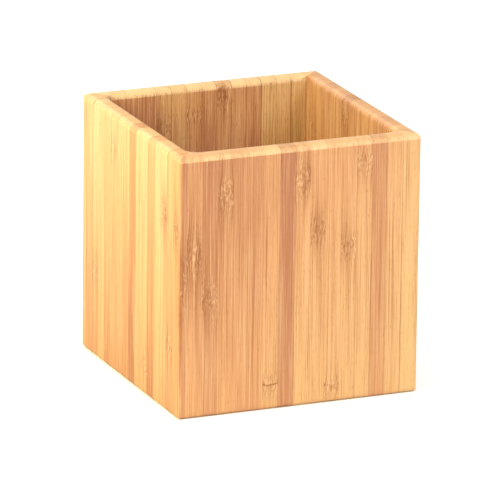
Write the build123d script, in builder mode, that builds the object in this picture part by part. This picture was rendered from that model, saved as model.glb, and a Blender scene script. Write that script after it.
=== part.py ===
from build123d import *
import os

# A square, open-topped box of laminated bamboo, sized for pens or small utensils on a desk.
#
# Four walls, mitred at the corners, stand around a base panel that is let into a groove near their lower
# edge. Each wall and the base are panels of narrow bamboo strips, set on edge and glued side by side, and
# every strip is a solid of its own. Glued faces touch, with no gap and no overlap.
#
# Millimetres, +Z up. The origin is the middle of the footprint, on the surface that the box stands on. The
# front wall faces -Y.

os.makedirs("parts", exist_ok=True)

# Driving dimensions
width = 102.0  # outside, along X and along Y
height = 106.0
wall_thickness = 7.5
strip_width = 6.5
least_strip = 2.0  # a narrower leftover at the end of a wall stays with the strip beside it

rim_radius = 2.6  # round-over along both edges of the rim
bearing_radius = 4.5  # guide bearing of the round-over cutter, which rolls round inside each corner
edge_radius = 1.4  # outside vertical edges
foot_radius = 2.0  # outside lower edges

base_thickness = 5.0
base_recess = 3.0  # from the standing surface up to the underside of the base panel
groove_depth = 3.0
groove_relief = 0.5  # room left between the base panel and the bottom of the groove
base_first_line = 4.0  # from the base panel's left edge to its first glue line

# Each wall's turn about Z from the front wall, in degrees, and the distance from its left end, seen from
# outside, to its first glue line. A first strip that is wider than the rest has kept its sliver too.
walls = {
    "front": (0, 3.1),
    "right": (90, 8.2),
    "back": (180, 8.1),
    "left": (270, 4.6),
}

# Sizes that follow
half = width / 2
inside = width - 2 * wall_thickness
inner_half = inside / 2
groove_side = inside + 2 * groove_depth
base_side = groove_side - 2 * groove_relief


def strip_spans(length, first_line):
    """Start and end of every strip in a panel that runs from -length / 2 to length / 2."""
    lines = [-length / 2]
    line = first_line - length / 2
    while line < length / 2 - least_strip:
        lines.append(line)
        line += strip_width
    lines.append(length / 2)
    return list(zip(lines, lines[1:]))


# The outer block, with its rim and its foot rounded over
with BuildPart() as block:
    with BuildSketch():
        Rectangle(width, width)
    extrude(amount=height)
    fillet(block.faces().sort_by(Axis.Z)[-1].edges(), rim_radius)
    fillet(block.faces().sort_by(Axis.Z)[0].edges(), foot_radius)

# The four walls as they are once glued, rounded and grooved, before they are told apart
with BuildPart() as shell:
    with BuildSketch():
        RectangleRounded(width, width, edge_radius)
    extrude(amount=height)
    add(block.part, mode=Mode.INTERSECT)
    # The mouth is first cut with the cutter's own corners, so that its round-over turns on the bearing ...
    with BuildSketch():
        RectangleRounded(inside, inside, bearing_radius)
    extrude(amount=height, mode=Mode.SUBTRACT)
    fillet(shell.faces().sort_by(Axis.Z)[-1].inner_wires()[0].edges(), rim_radius)
    # ... and then opened out to the square corners in which the walls meet.
    with BuildSketch():
        Rectangle(inside, inside)
    extrude(amount=height, mode=Mode.SUBTRACT)
    with BuildSketch(Plane.XY.offset(base_recess)):
        Rectangle(groove_side, groove_side)
    extrude(amount=base_thickness, mode=Mode.SUBTRACT)


def wall_strip(turn, start, end):
    """One strip of a wall: the part of the shell between its two mitres and between two glue lines."""
    with BuildPart() as strip:
        add(shell.part)
        with BuildSketch(Plane.XY.rotated((0, 0, turn))):
            with BuildLine():
                Polyline((-half, -half), (half, -half), (0, 0), close=True)
            make_face()
            with Locations(((start + end) / 2, -half / 2)):
                Rectangle(end - start, half, mode=Mode.INTERSECT)
        extrude(amount=height, mode=Mode.INTERSECT)
    return strip.part


def base_strip(start, end):
    """One strip of the base panel, which runs from front to back."""
    with BuildPart() as strip:
        with BuildSketch(Plane.XY.offset(base_recess)):
            with Locations(((start + end) / 2, 0)):
                Rectangle(end - start, base_side)
        extrude(amount=base_thickness)
    return strip.part


def write_node(name, strips):
    """Label and write one node. A node of several strips keeps them as separate solids."""
    node = strips[0] if len(strips) == 1 else Compound(children=strips)
    node.label = name
    export_step(node, f"parts/{name}.step")


for side, (turn, first_line) in walls.items():
    left_end = []
    right_end = []
    for number, (start, end) in enumerate(strip_spans(width, first_line), 1):
        strip = wall_strip(turn, start, end)
        if start < -inner_half:
            left_end.append(strip)
        elif end > inner_half:
            right_end.append(strip)
        else:
            write_node(f"{side}_strip_{number:02d}", [strip])
    # The strips that a mitre cuts through make up the two ends of the wall.
    write_node(f"{side}_left_end_strips", left_end)
    write_node(f"{side}_right_end_strips", right_end)

write_node("base_panel", [base_strip(start, end) for start, end in strip_spans(base_side, base_first_line)])
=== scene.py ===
import math
from typing import NamedTuple

import bmesh
import bpy
import numpy as np
from mathutils import Matrix, Vector


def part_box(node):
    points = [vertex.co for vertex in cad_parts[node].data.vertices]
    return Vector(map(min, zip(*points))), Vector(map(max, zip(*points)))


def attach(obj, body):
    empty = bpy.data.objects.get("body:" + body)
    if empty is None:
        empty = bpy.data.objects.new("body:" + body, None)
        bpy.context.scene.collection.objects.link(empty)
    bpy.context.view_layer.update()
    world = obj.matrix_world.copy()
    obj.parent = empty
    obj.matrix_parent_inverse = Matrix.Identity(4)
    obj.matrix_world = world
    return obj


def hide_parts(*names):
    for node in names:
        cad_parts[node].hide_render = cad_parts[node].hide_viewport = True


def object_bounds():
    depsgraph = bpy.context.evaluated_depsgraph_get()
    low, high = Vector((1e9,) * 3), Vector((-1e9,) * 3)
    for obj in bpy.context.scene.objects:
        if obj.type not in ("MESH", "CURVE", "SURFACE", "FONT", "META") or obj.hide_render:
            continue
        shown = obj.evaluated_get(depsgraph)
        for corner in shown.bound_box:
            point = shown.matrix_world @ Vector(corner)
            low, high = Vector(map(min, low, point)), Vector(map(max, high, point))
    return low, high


# A square, open-topped box of laminated bamboo, finished for rendering.
#
# Every strip of bamboo is rebuilt over its CAD solid as a smooth surface that carries its own grain: how far
# a point lies across the strip, along its fibres and in from its face. One bamboo material reads that grain,
# so the fibres run on over the rounded rim and show their ends there, paler and with a painted highlight. The
# left wall takes a more golden copy of the material, which paints in the warm light that falls on it.
#
# Metres, +Z up, in the CAD frame: the front wall faces -Y and the box stands on z = 0.

bl_info = {
    "name": "Laminated bamboo box",
    "version": (1, 0, 0),
    "blender": (4, 5, 0),
    "location": "3D View > Sidebar > Bamboo box",
    "description": "Builds the strips, the base and the studio of a square box of laminated bamboo",
    "category": "Add Mesh",
}

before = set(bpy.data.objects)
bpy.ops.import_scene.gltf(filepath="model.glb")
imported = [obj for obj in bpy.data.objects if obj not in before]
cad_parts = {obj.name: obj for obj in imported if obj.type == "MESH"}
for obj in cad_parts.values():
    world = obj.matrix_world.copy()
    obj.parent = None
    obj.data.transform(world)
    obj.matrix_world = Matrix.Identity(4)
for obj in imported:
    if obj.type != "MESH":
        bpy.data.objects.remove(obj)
CAD_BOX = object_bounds()

MM = 0.001  # metres
CENTRE = (CAD_BOX[0] + CAD_BOX[1]) / 2
WIDTH = CAD_BOX[1].x - CAD_BOX[0].x
HEIGHT = CAD_BOX[1].z - CAD_BOX[0].z
HALF = WIDTH / 2
PLAIN_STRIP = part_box("front_strip_03")
STRIP_WIDTH = PLAIN_STRIP[1].x - PLAIN_STRIP[0].x
WALL = PLAIN_STRIP[1].y - PLAIN_STRIP[0].y
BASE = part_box("base_panel")
BASE_DEPTH = (BASE[1].y - BASE[0].y) / MM

# The turn of each wall about Z from the front wall
WALL_TURNS = {"front": 0.0, "right": math.pi / 2, "back": math.pi, "left": -math.pi / 2}

# How finely the strips are cut up
RIM_STEPS = 12  # faces round each round-over of the rim
FOOT_STEPS = 8
EDGE_STEPS = 13  # points round half of an outside vertical edge
BASE_STEPS = 9  # points along a base strip
STATION_STEP = 0.4 * MM  # between rings of points near a wall's end
FACE_MARGIN = 0.4 * MM  # from a rounding to the first points of the face beside it, which keep that face flat
RIM_MARGIN = 0.2 * MM  # the same, on the rim
MERGED = 1e-6  # points nearer than this become one
SHARP_ANGLE = math.radians(30)

# A strip's seed, from 0 to 1, tells its pattern from the other strips'.
SEED_STEP = 0.618
SEEDS_PER_WALL = 17  # more than its strips, so that no two walls share a seed
BASE_FIRST_SEED = 71

NO_NODE = -200.0  # a height so far below the box, in mm, that nothing of the node shows


class Strip(NamedTuple):
    """How one strip looks: its tone from -1, pale, to 1.5, brown; how much browner it is painted at the rim
    than at the foot, a painted gradient of light and shade; the height of the middle of its node above the
    foot of the box, in mm; that node's size; how plain a dark bar crosses it; and how dark the glue line on
    the strip's left is."""

    tone: float
    fade: float = 0.0
    node: float = NO_NODE
    size: float = 1.0
    bar: float = 0.0
    seam: float = 0.12


# The strips of each wall, from its left end to its right, seen from outside
WALL_STRIPS = {
    # The front's fades paint its strips darker towards the rim and paler towards the foot, where more light
    # falls.
    "front": [
        Strip(0.50, 0.6, 54, 2.0),
        Strip(-0.05, 0.7, 66, 1.6),
        Strip(0.45, 0.7, 48, 1.4),
        Strip(-0.15, 1.0, 89, 1.4),
        Strip(0.10, 0.7),
        Strip(0.05, 0.7),
        Strip(-0.50, 0.9, 10, 0.7, bar=1.0),
        Strip(0.75, 0.5, seam=0.25),
        Strip(-0.65, 0.9, 92, 1.3, seam=0.3),
        Strip(-0.55, 0.7, 71, 1.0),
        Strip(-0.45, 0.6, 7, 0.7, bar=0.3),
        Strip(-0.60, 0.7, 63, 0.9),
        Strip(-0.70, 0.7, 97, 0.9, seam=0.3),
        Strip(0.15, 0.5, seam=0.25),
        Strip(-0.65, 0.5, seam=0.3),
        Strip(-0.90, 0.4, seam=0.35),
    ],
    "right": [
        Strip(0.05, 0.1),
        Strip(-0.20, 0.0, 35, 1.0),
        Strip(0.10, 0.1, seam=0.4),
        Strip(0.60, 0.0),
        Strip(0.05, 0.1, 80, 1.1, seam=0.3),
        Strip(-0.15, 0.1, seam=0.5),
        Strip(0.20, 0.0, seam=0.5),
        Strip(0.30, 0.1, 20, 1.2, seam=0.3),
        Strip(0.70, 0.1, 99, 0.9, seam=0.5),
        Strip(0.45, 0.0, seam=0.6),
        Strip(0.15, 0.1, 55, 1.0, seam=0.5),
        Strip(0.35, 0.1, seam=0.6),
        Strip(0.00, 0.1, seam=0.6),
        Strip(0.20, 0.0, 86, 0.8, seam=0.5),
        Strip(0.05, 0.1, seam=0.4),
        Strip(-0.20, 0.1, seam=0.4),
    ],
    "back": [
        # The first four strips, far right when seen from inside, are the palest, partly a painted light that
        # falls there over the left wall's rim.
        Strip(-0.90, 0.0, seam=0.35),
        Strip(-1.00, 0.0, 30, 1.0, seam=0.4),
        Strip(-0.85, 0.0, seam=0.45),
        Strip(-1.00, 0.0, seam=0.4),
        Strip(0.30, 0.1, 60, 1.1, seam=0.6),
        Strip(0.20, 0.1, seam=0.3),
        Strip(0.05, 0.0, 101, 1.2, seam=0.4),
        Strip(0.45, 0.1, seam=0.5),
        Strip(-0.10, 0.0, 94, 0.5, seam=0.3),
        Strip(-0.60, 0.1, 22, 1.0, seam=0.55),
        Strip(-0.50, 0.1, 90, 1.0, seam=0.5),
        Strip(0.65, 0.0, seam=0.4),
        Strip(0.50, 0.1, 45, 1.2),
        Strip(0.40, 0.1, seam=0.4),
        Strip(0.10, 0.0, 75, 0.9),
        Strip(0.05, 0.1),
    ],
    # The left wall's negative fades paint its strips paler towards the rim, where more light falls.
    "left": [
        Strip(0.25, -0.8, 98, 0.6),
        Strip(0.80, -1.4, seam=0.5),
        Strip(0.85, -2.1, 36, 0.9, seam=0.9),
        Strip(0.20, -0.8, seam=0.3),
        Strip(1.20, -1.8, seam=0.4),
        Strip(0.85, -1.4, 91, 0.8, seam=0.4),
        Strip(1.00, -1.6, seam=0.6),
        Strip(1.05, -1.5, seam=0.3),
        Strip(1.80, -1.3, seam=0.5),
        Strip(0.40, -1.0, seam=0.5),
        Strip(0.35, -1.0, 12, 0.9),
        Strip(1.50, -1.5, seam=0.9),
        Strip(0.30, -0.9, seam=0.5),
        Strip(0.55, -1.1, 79, 1.1, bar=0.3, seam=0.3),
        Strip(1.10, -1.2, 28, 0.9, seam=0.7),
        Strip(0.65, -0.4, 76, 0.9, seam=0.3),
    ],
}

BASE_TONES = [0.1, -0.2, 0.05, 0.3, 0.0, -0.1, 0.5, 0.1, 0.0, -0.3, 0.2, 0.05, 0.4, -0.1, 0.1]
BASE_NODE_STEP = 37.0  # mm by which a base strip's node lies further on than its left neighbour's

# How much paler each wall's rim is painted than its faces, on the rim's flat and on its rounded edges:
# partly the end grain's own paleness, partly a painted highlight, strongest on the front and back rims.
RIM_PALENESS_AND_HIGHLIGHT = {"front": (0.45, 0.70), "right": (0.20, 0.0), "back": (0.95, 1.1), "left": (0.0, 0.3)}
BASE_RIM_PALENESS_AND_HIGHLIGHT = (0.0, 0.0)


class Grain(NamedTuple):
    """How fast one layer of the grain varies, per mm across the fibres, in from the face and along the
    fibres, and its detail."""

    across: float
    inward: float
    along: float
    detail: float = 0.0


LINES = Grain(2.3, 1.2, 0.012, 2.0)
FINE = Grain(6.0, 6.0, 0.07, 2.0)
BROAD = Grain(0.45, 0.25, 0.02, 1.0)
STREAKS = Grain(2.6, 0.8, 0.01, 1.0)
DASHES = Grain(4.0, 4.0, 0.3)
BUNDLES = Grain(1.25, 1.25, 0.01)

SEED_SPREAD = 83.0  # how far apart in the noise the strips of seed 0 and 1 lie
NODE_REACH = 5.5  # mm up or down from the middle of a node of size 1 at which its marks fade
STRIP_MIDDLE = 3.2  # mm from a strip's glue line
INNER_FACE = (WALL / MM - 0.6, WALL / MM - 0.1)  # mm in, between which the inner face's look sets in
RELIEF_DEPTH = 0.06 * MM
TONE_STOPS = (0.0, 0.4, 1.0)  # places of the pale, honey and brown tones on the ramp
TONE_TO_RAMP = 0.4  # the ramp runs from tone -1 to tone 1.5

BLACK = (0.0, 0.0, 0.0, 1.0)
WHITE = (1.0, 1.0, 1.0, 1.0)
FLOOR_SHADES = ((0.90, 0.90, 0.90, 1.0), (0.93, 0.93, 0.93, 1.0))
FLOOR_REACH = 60 * WIDTH  # from the middle of the floor to its edge
# The glow stops just beside the box as well as under it, which paints a thin contact shadow along its foot.
GLOW_AND_CONTACT_SHADOW_EDGE = (HALF - 0.5 * MM, HALF + 1.0 * MM)  # from the box's middle, where the floor's glow sets in
CLIP_END = 100  # metres


class Softbox(NamedTuple):
    """A square softbox that faces the middle of the box: its direction in degrees, where azimuth 0 is in
    front of the box, its distance and size in metres, its power in watts and its colour."""

    azimuth: float
    elevation: float
    distance: float
    size: float
    power: float
    colour: tuple = (1.0, 1.0, 1.0)


SOFTBOXES = {
    "left_softbox": Softbox(-75, 32, 0.5, 0.3, 2.8, (0.95, 0.97, 0.53)),
    "front_softbox": Softbox(30, 36, 0.9, 0.35, 2.6),
    "back_softbox": Softbox(-172, 28, 1.0, 0.5, 3.2),
}


class BoxShape(bpy.types.PropertyGroup):
    """Sizes of the box that the frame's boxes don't give."""

    rim_radius: bpy.props.FloatProperty(
        name="Rim radius", description="Round-over on both edges of the rim", default=2.6 * MM, unit="LENGTH"
    )
    bearing_radius: bpy.props.FloatProperty(
        name="Bearing radius",
        description="Guide bearing of the round-over cutter, which turns inside each corner",
        default=4.5 * MM,
        unit="LENGTH",
    )
    edge_radius: bpy.props.FloatProperty(
        name="Edge radius", description="Outside vertical edges", default=1.4 * MM, unit="LENGTH"
    )
    foot_radius: bpy.props.FloatProperty(
        name="Foot radius", description="Outside lower edges", default=2.0 * MM, unit="LENGTH"
    )
    groove_depth: bpy.props.FloatProperty(
        name="Groove depth", description="Groove that holds the base panel", default=3.0 * MM, unit="LENGTH"
    )
    least_strip: bpy.props.FloatProperty(
        name="Least strip",
        description="A narrower leftover at the end of a wall stays with the strip beside it",
        default=2.0 * MM,
        unit="LENGTH",
    )
    base_first_line: bpy.props.FloatProperty(
        name="First base line",
        description="From the base panel's left edge to its first glue line",
        default=4.0 * MM,
        unit="LENGTH",
    )


class BambooLook(bpy.types.PropertyGroup):
    """Colours and finish of the bamboo. The left wall's strips take a more golden copy of the colours, which
    paints in the warm light that falls on that side.
    """

    pale: bpy.props.FloatVectorProperty(
        name="Pale strips", description="Colour of the palest strips", subtype="COLOR",
        size=4, default=(0.71, 0.435, 0.19, 1.0),
    )
    honey: bpy.props.FloatVectorProperty(
        name="Honey strips", description="Colour of most strips", subtype="COLOR",
        size=4, default=(0.61, 0.295, 0.134, 1.0),
    )
    brown: bpy.props.FloatVectorProperty(
        name="Brown strips", description="Colour of the darkest strips", subtype="COLOR",
        size=4, default=(0.36, 0.126, 0.069, 1.0),
    )
    # The left wall's more golden colours are painted warm light.
    warm_lit_pale: bpy.props.FloatVectorProperty(
        name="Pale golden strips", description="Colour of the left wall's palest strips",
        subtype="COLOR", size=4, default=(0.71, 0.435, 0.215, 1.0),
    )
    warm_lit_honey: bpy.props.FloatVectorProperty(
        name="Honey golden strips", description="Colour of most of the left wall's strips",
        subtype="COLOR", size=4, default=(0.62, 0.30, 0.116, 1.0),
    )
    warm_lit_brown: bpy.props.FloatVectorProperty(
        name="Brown golden strips", description="Colour of the left wall's darkest strips",
        subtype="COLOR", size=4, default=(0.36, 0.125, 0.036, 1.0),
    )
    fibre: bpy.props.FloatVectorProperty(
        name="Fibre bundles", description="Colour of the fibre bundles and of the dark strokes of a node",
        subtype="COLOR", size=4, default=(0.30, 0.105, 0.04, 1.0),
    )
    pith: bpy.props.FloatVectorProperty(
        name="Light strokes", description="Colour of the light strokes between the bundles", subtype="COLOR",
        size=4, default=(0.78, 0.50, 0.27, 1.0),
    )
    roughness: bpy.props.FloatProperty(
        name="Roughness", description="Roughness of the bamboo under its finish",
        subtype="FACTOR", min=0, max=1, default=0.5,
    )
    sheen: bpy.props.FloatProperty(
        name="Sheen", description="Strength of the bamboo's own reflection", subtype="FACTOR", min=0, max=1,
        default=0.12,
    )
    coat: bpy.props.FloatProperty(
        name="Coat", description="Weight of the satin coat", subtype="FACTOR", min=0, max=1, default=0.12
    )
    coat_roughness: bpy.props.FloatProperty(
        name="Coat roughness", description="Roughness of the satin coat",
        subtype="FACTOR", min=0, max=1, default=0.35,
    )


class Studio(bpy.types.PropertyGroup):
    """Camera and lights."""

    azimuth: bpy.props.FloatProperty(
        name="Azimuth", description="Camera's direction, from straight at the front wall", subtype="ANGLE",
        default=math.radians(23.17),
    )
    elevation: bpy.props.FloatProperty(
        name="Elevation", description="Camera's height above the horizon", subtype="ANGLE",
        default=math.radians(16.81),
    )
    roll: bpy.props.FloatProperty(
        name="Roll", description="Camera's tilt about its own axis", subtype="ANGLE",
        default=math.radians(0.74),
    )
    distance: bpy.props.FloatProperty(
        name="Distance", description="Camera's distance, in box widths", default=24.684
    )
    aim: bpy.props.FloatVectorProperty(
        name="Aim",
        description="Point that the camera looks at, from the plan's centre at the foot, in box widths",
        subtype="TRANSLATION",
        default=(0.0002, -0.0107, 0.4874),
    )
    lens: bpy.props.FloatProperty(
        name="Focal length", description="Camera's focal length", default=457.3, unit="CAMERA"
    )
    sky: bpy.props.FloatProperty(
        name="Sky", description="Strength of the even white surround", default=0.75
    )
    floor_glow: bpy.props.FloatProperty(
        name="Floor glow", description="Light that comes up through the white floor", default=0.23
    )


# ---- Surfaces ------------------------------------------------------------------------------------------


def drop(reach, radius):
    """How far a quarter-round lies below its top, at a distance reach in from its vertical face: the radius
    less the height of a circle, and nothing once reach passes the radius."""
    inside = np.clip(radius - reach, 0.0, radius)
    return radius - np.sqrt(radius**2 - inside**2)


def quarter_steps(radius, steps):
    """Distances in from a vertical face at which equal turns of its quarter-round fall."""
    return radius * (1 - np.cos(np.linspace(0, math.pi / 2, steps + 1)))


def rim_height(along, inward, shape):
    """Height of the rim over a point of a wall, given along the wall from its middle and inward from its
    outer face. The outer round-over falls with the distance from the outer face. The inner one falls with
    the distance from the path of the cutter's bearing, a square whose sides lie a bearing's radius inside
    the walls, so it fades out towards the inner corners."""
    path = HALF - WALL - shape.bearing_radius
    sideways = np.maximum(np.abs(along) - path, 0.0)
    across = np.maximum(HALF - inward - path, 0.0)
    beyond = np.hypot(sideways, across) - shape.bearing_radius
    fall = np.maximum(drop(inward, shape.rim_radius), drop(beyond, shape.rim_radius))
    return HEIGHT - fall


def wall_stations(start, end, shape):
    """Places along a wall at which a strip from start to end has a ring of points. They are close together
    where the wall's end is rounded, mitred or reached by the curve of the inner round-over."""
    turns = np.linspace(math.pi / 4, math.pi / 2, EDGE_STEPS)
    edge = shape.edge_radius * (1 - np.cos(turns))
    reach = WALL + shape.bearing_radius
    steps = np.arange(shape.edge_radius + 0.3 * MM, reach, STATION_STEP)
    marks = np.array([WALL - shape.groove_depth, WALL, reach])
    far = np.concatenate([edge, steps, marks])
    places = np.concatenate([far - HALF, HALF - far])
    limit = HALF - edge[0]
    start = max(start, -limit)
    end = min(end, limit)
    between = places[(places > start + MERGED) & (places < end - MERGED)]
    return np.unique(np.concatenate([[start, end], between]).round(9))


def wall_rings(along, shape):
    """Inward distance and height of every point of a strip's rings, one row for each station.

    A ring runs inward over the rim, down the inner face round the groove for the base, outward under the
    foot, and up the outer face. Near a wall's end the outer face curves in by the rounding of the vertical
    edge, and the inner face follows the mitre, so every inward distance is held between the two."""
    far = HALF - np.abs(along)
    outer = drop(far, shape.edge_radius)[:, None]
    inner = np.minimum(WALL, far)[:, None]
    rows = np.ones_like(outer)

    rim = quarter_steps(shape.rim_radius, RIM_STEPS)
    flat = [shape.rim_radius + RIM_MARGIN, WALL / 2, WALL - shape.rim_radius - RIM_MARGIN]
    rim_inward = np.concatenate([rim, flat, WALL - rim[::-1]])
    rim_inward = np.clip(rows * rim_inward, outer, inner)
    rim_z = rim_height(along[:, None], rim_inward, shape)

    groove = np.minimum(inner, WALL - shape.groove_depth)
    inner_inward = np.hstack([inner, inner, inner, inner, groove, groove, inner])
    low, high = BASE[0].z, BASE[1].z
    upper, middle = 0.6 * HEIGHT, 0.3 * HEIGHT
    inner_levels = np.array([upper, middle, high, high, low, low])
    inner_z = np.hstack([rim_z[:, -1:] - FACE_MARGIN, rows * inner_levels])

    foot = quarter_steps(shape.foot_radius, FOOT_STEPS)
    foot_inward = np.concatenate([[WALL, shape.foot_radius + FACE_MARGIN], foot[::-1]])
    foot_inward = np.clip(rows * foot_inward, outer, inner)
    foot_z = drop(foot_inward, shape.foot_radius)

    outer_levels = np.array([low, high, middle, upper])
    outer_z = np.hstack([rows * outer_levels, rim_z[:, :1] - FACE_MARGIN])
    outer_inward = np.repeat(outer, outer_z.shape[1], axis=1)

    inward = np.hstack([rim_inward, inner_inward, foot_inward, outer_inward])
    height = np.hstack([rim_z, inner_z, foot_z, outer_z])
    return inward, height


def ring_faces(rings, points):
    """Quads between neighbouring rings, and a face that closes each end."""
    here = np.arange(points)[None, :]
    after = (here + 1) % points
    near = np.arange(rings - 1)[:, None] * points
    far = near + points
    quads = np.stack([near + here, far + here, far + after, near + after], axis=-1)
    ends = [list(range(points)), list(range((rings - 1) * points, rings * points))]
    return quads.reshape(-1, 4).tolist() + ends


def closed(vertices, faces):
    """The same surface with coinciding points merged, flat faces dropped and every face turned outward."""
    mesh = bpy.data.meshes.new("surface")
    mesh.from_pydata(vertices.tolist(), [], faces)
    surface = bmesh.new()
    surface.from_mesh(mesh)
    bmesh.ops.remove_doubles(surface, verts=surface.verts, dist=MERGED)
    bmesh.ops.dissolve_degenerate(surface, edges=surface.edges, dist=MERGED / 10)
    bmesh.ops.recalc_face_normals(surface, faces=surface.faces)
    surface.to_mesh(mesh)
    surface.free()
    kept = np.empty(3 * len(mesh.vertices), dtype=np.float32)
    mesh.vertices.foreach_get("co", kept)
    outlines = [list(face.vertices) for face in mesh.polygons]
    bpy.data.meshes.remove(mesh)
    return kept.reshape(-1, 3).astype(float), outlines


def wall_strip(side, start, end, shape):
    """One strip of a wall as points and faces, with the grain of each point in mm: across the strip from its
    left glue line, along its fibres, and in from its outer face."""
    along = wall_stations(start, end, shape)
    inward, height = wall_rings(along, shape)
    local = np.stack([along[:, None] + 0 * inward, inward - HALF, height], axis=-1)
    points, faces = closed(local.reshape(-1, 3), ring_faces(*inward.shape))
    grain = np.stack([points[:, 0] - start, points[:, 2], points[:, 1] + HALF], axis=-1) / MM
    turn = WALL_TURNS[side]
    x = points[:, 0] * math.cos(turn) - points[:, 1] * math.sin(turn)
    y = points[:, 0] * math.sin(turn) + points[:, 1] * math.cos(turn)
    placed = np.stack([x + CENTRE.x, y + CENTRE.y, points[:, 2]], axis=-1)
    return placed, faces, grain


def base_strip(start, end):
    """One strip of the base panel, a bar from front to back, with its grain: the fibres run along Y."""
    x = np.array([start, end, end, start])
    z = np.array([BASE[0].z, BASE[0].z, BASE[1].z, BASE[1].z])
    y = np.linspace(BASE[0].y, BASE[1].y, BASE_STEPS)
    shape = (len(y), len(x))
    grid = np.stack(np.broadcast_arrays(x[None, :], y[:, None], z[None, :]), axis=-1)
    points, faces = closed(grid.reshape(-1, 3), ring_faces(*shape))
    places = (points[:, 0] - start, points[:, 1] - BASE[0].y, BASE[1].z - points[:, 2])
    return points, faces, np.stack(places, axis=-1) / MM


def spans(low, high, first, least):
    """Start and end of each strip of a panel that runs from low to high, with a glue line at first and then
    one every strip's width. A strip narrower than least stays with its neighbour."""
    count = int(math.floor((high - least - first) / STRIP_WIDTH)) + 1
    lines = [low] + [first + i * STRIP_WIDTH for i in range(count)] + [high]
    return list(zip(lines, lines[1:]))


def wall_spans(side, shape):
    """The strips of a wall, with their glue lines taken from its first whole CAD strip."""
    turn = WALL_TURNS[side]
    rightward = Vector((math.cos(turn), math.sin(turn)))
    whole = sorted(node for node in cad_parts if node.startswith(side + "_strip_"))
    first = min((corner - CENTRE).to_2d().dot(rightward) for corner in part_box(whole[0]))
    while first - STRIP_WIDTH > -HALF + shape.least_strip:
        first -= STRIP_WIDTH
    return spans(-HALF, HALF, first, shape.least_strip)


def strip_seeds(numbers):
    """A seed for each numbered strip: steps of the golden ratio, with the whole part dropped."""
    return [number * SEED_STEP % 1.0 for number in numbers]


def add_piece(node, solids, looks, seeds, end_grain, material):
    """A piece made of separate strips, in place of a CAD node, with each strip's grain and look as attributes
    of its points."""
    name = "bamboo_" + node
    counts = [len(points) for points, _, _ in solids]
    firsts = np.cumsum([0] + counts[:-1])
    points = np.vstack([points for points, _, _ in solids])
    faces = []
    for first, (_, outlines, _) in zip(firsts, solids):
        faces += [[i + int(first) for i in face] for face in outlines]
    grain = np.vstack([grain for _, _, grain in solids])
    shade = np.repeat([(look.tone, seed, look.seam) for look, seed in zip(looks, seeds)], counts, axis=0)
    # The fade paints light and shade into the tone, a gradient from the foot to the rim.
    shade[:, 0] += np.repeat([look.fade for look in looks], counts) * grain[:, 1] * MM / HEIGHT
    knot = np.repeat([(look.node, look.size, look.bar) for look in looks], counts, axis=0)
    ends = np.tile((*end_grain, 0.0), (len(points), 1))
    mesh = bpy.data.meshes.new(name)
    mesh.from_pydata(points.tolist(), [], faces)
    for attribute, rows in {"grain": grain, "strip": shade, "node": knot, "end_grain": ends}.items():
        layer = mesh.attributes.new(attribute, "FLOAT_VECTOR", "POINT")
        layer.data.foreach_set("vector", np.ascontiguousarray(rows, dtype=np.float32).ravel())
    mesh.shade_smooth()
    mesh.set_sharp_from_angle(angle=SHARP_ANGLE)
    mesh.materials.append(material)
    piece = bpy.data.objects.new(name, mesh)
    bpy.context.scene.collection.objects.link(piece)
    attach(piece, "root")
    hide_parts(node)


# ---- Materials -----------------------------------------------------------------------------------------


class Value:
    """A number, colour or vector in a shader. Used in an expression with numbers or other values, it adds
    the Math nodes that work the expression out."""

    def __init__(self, shader, socket):
        self.shader = shader
        self.socket = socket

    def math(self, operation, *others):
        """The result of a Math node on this value and the others."""
        return self.shader.node("ShaderNodeMath", {"operation": operation}, dict(enumerate((self, *others))))

    def __add__(self, other):
        return self.math("ADD", other)

    def __sub__(self, other):
        return self.math("SUBTRACT", other)

    def __rsub__(self, other):
        return self.shader.node("ShaderNodeMath", {"operation": "SUBTRACT"}, {0: other, 1: self})

    def __mul__(self, other):
        return self.math("MULTIPLY", other)

    def __truediv__(self, other):
        return self.math("DIVIDE", other)

    def __rpow__(self, other):
        return self.shader.node("ShaderNodeMath", {"operation": "POWER"}, {0: other, 1: self})

    def __abs__(self):
        return self.math("ABSOLUTE")

    def clamped(self, low=0.0, high=1.0):
        """This value, held between low and high."""
        return self.math("MAXIMUM", low).math("MINIMUM", high)

    __radd__ = __add__
    __rmul__ = __mul__


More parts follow.
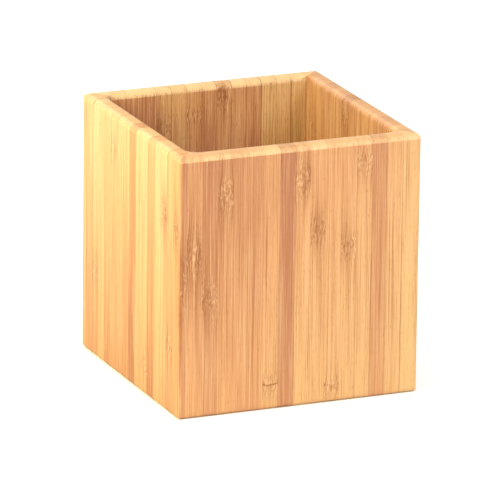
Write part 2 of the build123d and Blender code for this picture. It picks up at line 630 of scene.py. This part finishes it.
class Shader:
    """A material's nodes, added one at a time and linked by their values."""

    def __init__(self, name):
        self.material = bpy.data.materials.new(name)
        self.material.use_nodes = True
        self.tree = self.material.node_tree
        self.tree.nodes.clear()

    def node(self, kind, settings, inputs, output=0):
        """Adds a node of a kind, sets it, then fills or links its sockets. Gives one of its outputs."""
        made = self.tree.nodes.new(kind)
        for name, setting in settings.items():
            if name == "stops":
                self.set_stops(made.color_ramp, setting)
            else:
                setattr(made, name, setting)
        for name, value in inputs.items():
            if isinstance(value, Value):
                self.tree.links.new(value.socket, made.inputs[name])
            else:
                made.inputs[name].default_value = value
        return Value(self, made.outputs[output]) if made.outputs else None

    @staticmethod
    def set_stops(ramp, stops):
        """Gives a colour ramp its places and colours."""
        while len(ramp.elements) < len(stops):
            ramp.elements.new(1.0)
        for element, (position, colour) in zip(ramp.elements, stops):
            element.position = position
            element.color = colour

    def attribute(self, name):
        """The three numbers of a point attribute."""
        vector = self.node("ShaderNodeAttribute", {"attribute_name": name}, {}, "Vector")
        return [self.node("ShaderNodeSeparateXYZ", {}, {0: vector}, i) for i in range(3)]

    def point(self, x, y, z):
        """The vector of three numbers."""
        return self.node("ShaderNodeCombineXYZ", {}, {0: x, 1: y, 2: z})

    def noise(self, x, y, z, detail=0.0):
        """Smooth noise about zero, from about -0.5 to 0.5."""
        inputs = {"Vector": self.point(x, y, z), "Scale": 1.0, "Detail": detail}
        return self.node("ShaderNodeTexNoise", {}, inputs) - 0.5

    def step(self, value, start, end):
        """0 up to start and 1 from end on, with a smooth rise between."""
        settings = {"interpolation_type": "SMOOTHSTEP"}
        inputs = {"Value": value, "From Min": start, "From Max": end}
        return self.node("ShaderNodeMapRange", settings, inputs)

    def blend(self, factor, first, second):
        """first where factor is 0 and second where it is 1, as colours."""
        settings = {"data_type": "RGBA"}
        return self.node("ShaderNodeMix", settings, {0: factor, 6: first, 7: second}, 2)

    def finish(self, surface):
        """Gives the material its surface."""
        self.node("ShaderNodeOutputMaterial", {}, {"Surface": surface})
        return self.material


def bamboo_material(name):
    """The bamboo of the given name: the plain one, or the more golden copy that paints the warm light on the
    left wall. Each is made once, on first use.
    """
    if name in bpy.data.materials:
        return bpy.data.materials[name]
    look = bpy.context.scene.bamboo_look
    colour_sets = {
        "bamboo": (look.pale, look.honey, look.brown),
        "warm_lit_bamboo": (look.warm_lit_pale, look.warm_lit_honey, look.warm_lit_brown),
    }
    s = Shader(name)
    across, along, inward = s.attribute("grain")
    tone, seed, seam = s.attribute("strip")
    knot, size, bar = s.attribute("node")
    place = seed * SEED_SPREAD

    # Nearness to the node: 1 at its middle, falling off smoothly up and down the strip
    from_knot = along - knot
    reach = from_knot / (size * NODE_REACH)
    near = math.e ** (reach * reach * -1.0)
    stain = math.e ** (reach * reach * -0.25) * size

    # The fibres wander a little from side to side, part round the middle of a node and swirl beside it.
    middle = across - STRIP_MIDDLE
    wander = s.noise(place, along * 0.02, inward * 0.05) * 0.8
    swirl = s.noise(across * 0.45 + place, from_knot * 0.16, inward * 0.2, 1.0) * near * 1.6
    fibre = across + wander + swirl - middle * near * 0.35

    # How squarely the surface cuts the fibres: it follows from how far down a rounding a point lies. Cut
    # fibres look paler, and the rim carries a painted highlight as well, by an amount that varies from strip
    # to strip and from wall to wall.
    shape = bpy.context.scene.bamboo_shape
    rim = (1.0 - (HEIGHT / MM - along) / (shape.rim_radius / MM)).clamped()
    foot = (1.0 - along / (shape.foot_radius / MM)).clamped()
    end = rim + foot
    on_flat, on_edge, _ = s.attribute("end_grain")
    cut_and_highlight = s.step(rim, 0.02, 0.2) * (s.step(rim, 0.55, 0.95) * (on_flat - on_edge) + on_edge)
    cut_and_highlight = cut_and_highlight * ((seed * 7.0).math("FRACT") * 0.8 + 0.6)

    # Fibre bundles are rods along the strip: lines on its faces and dots on its ends.
    cell = s.point(fibre * BUNDLES.across + place, inward * BUNDLES.inward, along * BUNDLES.along)
    voronoi = {"voronoi_dimensions": "3D", "feature": "F1"}
    distance = s.node("ShaderNodeTexVoronoi", voronoi, {"Vector": cell, "Scale": 1.0}, "Distance")
    random = s.node("ShaderNodeTexVoronoi", voronoi, {"Vector": cell, "Scale": 1.0}, "Color")
    bundle = (1.0 - s.step(distance, 0.10, 0.42)) * s.step(random, 0.2, 0.9)

    # Light and dark lines, fine grain and broad bands, with dark streaks and dashes, all along the fibres
    lines, fine, broad, streaks, dashes = (
        s.noise(fibre * layer.across + place, inward * layer.inward, along * layer.along, layer.detail)
        for layer in (LINES, FINE, BROAD, STREAKS, DASHES)
    )
    streak = s.step(streaks, 0.08, 0.22)
    dash = s.step(dashes, 0.16, 0.28)
    grain = lines * 1.6 + broad * 0.9 + fine * 1.3

    # A node is a cluster of short light and dark strokes, with longer hairs above and below. A plain bar
    # crosses some nodes.
    spread = middle * 2.4 / (abs(from_knot) * 0.04 + 1.0)
    hairs = s.noise(spread + place, from_knot * 0.2, inward, 2.0) * 4.0
    flecks = s.noise(fibre * 1.7 + swirl + place, from_knot * 0.48, inward, 3.0) * 7.0
    strokes = (hairs + flecks).clamped(-1.0, 1.0) * near
    bar_line = (1.0 - s.step(abs(from_knot - middle * middle * 0.05), 0.15, 0.55)) * bar

    # The darker a glue line, the wider it is.
    glue = (1.0 - s.step(across - seam * 0.3, 0.05, 0.35)) * seam

    # The lines are fainter on the rounded edges and plainer on the less finely sanded inner face.
    rough = s.step(inward, *INNER_FACE)
    contrast = 1.0 + rough * 0.6 - end * 0.7
    dark = (grain.clamped() + dash * 0.3 + streak * 0.4) * contrast + bundle * 0.15
    dark = dark + stain * (broad * 2.5 + 0.6).clamped() * 0.4
    dark = dark + strokes.clamped() * 0.36 + bar_line * 0.5 + glue
    # Pale cut ends and the painted highlight on the rim lighten the colour as well.
    light = (grain * -1.0).clamped() * contrast * 0.9 + (strokes * -1.0).clamped() * 0.5 + cut_and_highlight

    stops = list(zip(TONE_STOPS, colour_sets[name]))
    base = s.node("ShaderNodeValToRGB", {"stops": stops}, {0: (tone + 1.0) * TONE_TO_RAMP})
    colour = s.blend(light.clamped(), base, look.pith[:])
    colour = s.blend(dark.clamped(0.0, 0.9), colour, look.fibre[:])

    relief = fine * 0.6 + lines * 0.5 - bundle * 0.5 - strokes * 0.7 - glue
    bump = s.node("ShaderNodeBump", {}, {"Strength": 0.5, "Distance": RELIEF_DEPTH, "Height": relief})
    inputs = {
        "Base Color": colour,
        "Roughness": (fine * 0.2 + bundle * 0.1 + look.roughness).clamped(),
        "Specular IOR Level": look.sheen,
        "Coat Weight": look.coat,
        "Coat Roughness": look.coat_roughness,
        "Normal": bump,
    }
    return s.finish(s.node("ShaderNodeBsdfPrincipled", {}, inputs))


def floor_material():
    """A plain pale floor with a very faint mottle. Light comes up through it, but not under the box nor just
    beside it, where the missing glow paints a thin contact shadow.
    """
    s = Shader("floor_paper")
    place = s.node("ShaderNodeTexCoord", {}, {}, "Object")
    x, y = (s.node("ShaderNodeSeparateXYZ", {}, {0: place}, i) for i in (0, 1))
    mottle = s.noise(x * 6.0, y * 6.0, 0.0, 2.0)
    colour = s.blend(mottle + 0.5, *FLOOR_SHADES)
    beside = abs(x - CENTRE.x).math("MAXIMUM", abs(y - CENTRE.y))
    # The glow fades out just beside the box: a painted contact shadow.
    glow = s.step(beside, *GLOW_AND_CONTACT_SHADOW_EDGE)
    inputs = {
        "Base Color": colour,
        "Roughness": 0.9,
        "Emission Color": s.blend(glow, BLACK, WHITE),
        "Emission Strength": bpy.context.scene.bamboo_studio.floor_glow,
    }
    return s.finish(s.node("ShaderNodeBsdfPrincipled", {}, inputs))


# ---- Operators -----------------------------------------------------------------------------------------


def direction(azimuth, elevation):
    """The unit vector towards a direction given by two angles; azimuth 0 is straight in front of the box."""
    flat = math.cos(elevation)
    return Vector((math.sin(azimuth) * flat, -math.cos(azimuth) * flat, math.sin(elevation)))


def facing(place, away):
    """The matrix of a camera or light that stands at a place and looks the opposite way to away."""
    return Matrix.Translation(place) @ away.to_track_quat("Z", "Y").to_matrix().to_4x4()


class BAMBOO_OT_wall(bpy.types.Operator):
    """Build every strip of one wall"""

    bl_idname = "bamboo_box.wall"
    bl_label = "Wall strips"

    side: bpy.props.EnumProperty(
        name="Side",
        description="Which wall to build",
        items=[(side, side.title(), "") for side in WALL_TURNS],
        default="front",
    )

    def execute(self, context):
        shape = context.scene.bamboo_shape
        looks = WALL_STRIPS[self.side]
        pieces = {}
        for number, (start, end) in enumerate(wall_spans(self.side, shape)):
            if start < WALL - HALF:
                node = f"{self.side}_left_end_strips"
            elif end > HALF - WALL:
                node = f"{self.side}_right_end_strips"
            else:
                node = f"{self.side}_strip_{number + 1:02d}"
            pieces.setdefault(node, []).append((number, wall_strip(self.side, start, end, shape)))
        wall_number = list(WALL_TURNS).index(self.side)
        # The left wall takes the more golden copy, painted warm light.
        material = bamboo_material("warm_lit_bamboo" if self.side == "left" else "bamboo")
        for node, strips in pieces.items():
            numbers = [number for number, _ in strips]
            seeds = strip_seeds(wall_number * SEEDS_PER_WALL + number for number in numbers)
            solids = [solid for _, solid in strips]
            chosen = [looks[number] for number in numbers]
            add_piece(node, solids, chosen, seeds, RIM_PALENESS_AND_HIGHLIGHT[self.side], material)
        return {"FINISHED"}


class BAMBOO_OT_base(bpy.types.Operator):
    """Build the base panel's strips"""

    bl_idname = "bamboo_box.base"
    bl_label = "Base panel"

    def execute(self, context):
        shape = context.scene.bamboo_shape
        low, high = BASE[0].x, BASE[1].x
        places = spans(low, high, low + shape.base_first_line, shape.least_strip)
        solids = [base_strip(start, end) for start, end in places]
        looks = [Strip(tone, node=i * BASE_NODE_STEP % BASE_DEPTH) for i, tone in enumerate(BASE_TONES)]
        seeds = strip_seeds(range(BASE_FIRST_SEED, BASE_FIRST_SEED + len(solids)))
        add_piece("base_panel", solids, looks, seeds, BASE_RIM_PALENESS_AND_HIGHLIGHT, bamboo_material("bamboo"))
        return {"FINISHED"}


class BAMBOO_OT_studio(bpy.types.Operator):
    """Set up the floor, the lights and the camera"""

    bl_idname = "bamboo_box.studio"
    bl_label = "Studio"

    def execute(self, context):
        scene = context.scene
        studio = scene.bamboo_studio
        scene.view_settings.view_transform = "Standard"
        self.floor(scene)
        self.surround(scene, studio)
        for name, softbox in SOFTBOXES.items():
            self.softbox(scene, name, softbox)
        self.camera(scene, studio)
        return {"FINISHED"}

    def floor(self, scene):
        """Lays a plain floor under the box."""
        reach = FLOOR_REACH
        mesh = bpy.data.meshes.new("studio_floor")
        corners = [(-reach, -reach, 0), (reach, -reach, 0), (reach, reach, 0), (-reach, reach, 0)]
        mesh.from_pydata(corners, [], [(0, 1, 2, 3)])
        mesh.materials.append(floor_material())
        floor = bpy.data.objects.new("studio_floor", mesh)
        scene.collection.objects.link(floor)

    def surround(self, scene, studio):
        """Lights the scene evenly from all round."""
        world = bpy.data.worlds.new("white_surround")
        world.use_nodes = True
        background = world.node_tree.nodes["Background"]
        background.inputs["Color"].default_value = WHITE
        background.inputs["Strength"].default_value = studio.sky
        scene.world = world

    def softbox(self, scene, name, softbox):
        """Hangs one softbox."""
        light = bpy.data.lights.new(name, "AREA")
        light.size = softbox.size
        light.energy = softbox.power
        light.color = softbox.colour
        lamp = bpy.data.objects.new(name, light)
        away = direction(math.radians(softbox.azimuth), math.radians(softbox.elevation))
        lamp.matrix_world = facing(CENTRE + away * softbox.distance, away)
        scene.collection.objects.link(lamp)

    def camera(self, scene, studio):
        """Aims the camera and makes it the scene's."""
        data = bpy.data.cameras.new("camera")
        data.lens = studio.lens
        data.clip_end = CLIP_END
        camera = bpy.data.objects.new("camera", data)
        away = direction(-studio.azimuth, studio.elevation)
        target = Vector((CENTRE.x, CENTRE.y, CAD_BOX[0].z)) + Vector(studio.aim) * WIDTH
        roll = Matrix.Rotation(studio.roll, 4, "Z")
        camera.matrix_world = facing(target + away * studio.distance * WIDTH, away) @ roll
        scene.collection.objects.link(camera)
        scene.camera = camera


class BAMBOO_PT_box(bpy.types.Panel):
    """Settings and builders of the bamboo box"""

    bl_idname = "BAMBOO_PT_box"
    bl_label = "Bamboo box"
    bl_space_type = "VIEW_3D"
    bl_region_type = "UI"
    bl_category = "Bamboo box"

    def draw(self, context):
        scene = context.scene
        for group in (scene.bamboo_shape, scene.bamboo_look, scene.bamboo_studio):
            column = self.layout.column()
            for name in group.__annotations__:
                column.prop(group, name)
        for side in WALL_TURNS:
            self.layout.operator("bamboo_box.wall", text=side.title() + " wall").side = side
        self.layout.operator("bamboo_box.base")
        self.layout.operator("bamboo_box.studio")


CLASSES = (
    BoxShape,
    BambooLook,
    Studio,
    BAMBOO_OT_wall,
    BAMBOO_OT_base,
    BAMBOO_OT_studio,
    BAMBOO_PT_box,
)


def register():
    """Registers the classes and gives every scene its settings."""
    for item in CLASSES:
        bpy.utils.register_class(item)
    bpy.types.Scene.bamboo_shape = bpy.props.PointerProperty(type=BoxShape)
    bpy.types.Scene.bamboo_look = bpy.props.PointerProperty(type=BambooLook)
    bpy.types.Scene.bamboo_studio = bpy.props.PointerProperty(type=Studio)


def unregister():
    """Takes the settings and the classes away again."""
    del bpy.types.Scene.bamboo_studio
    del bpy.types.Scene.bamboo_look
    del bpy.types.Scene.bamboo_shape
    for item in reversed(CLASSES):
        bpy.utils.unregister_class(item)


def main():
    """Builds everything."""
    register()
    for side in WALL_TURNS:
        bpy.ops.bamboo_box.wall(side=side)
    bpy.ops.bamboo_box.base()
    bpy.ops.bamboo_box.studio()


if __name__ == "__main__":
    main()
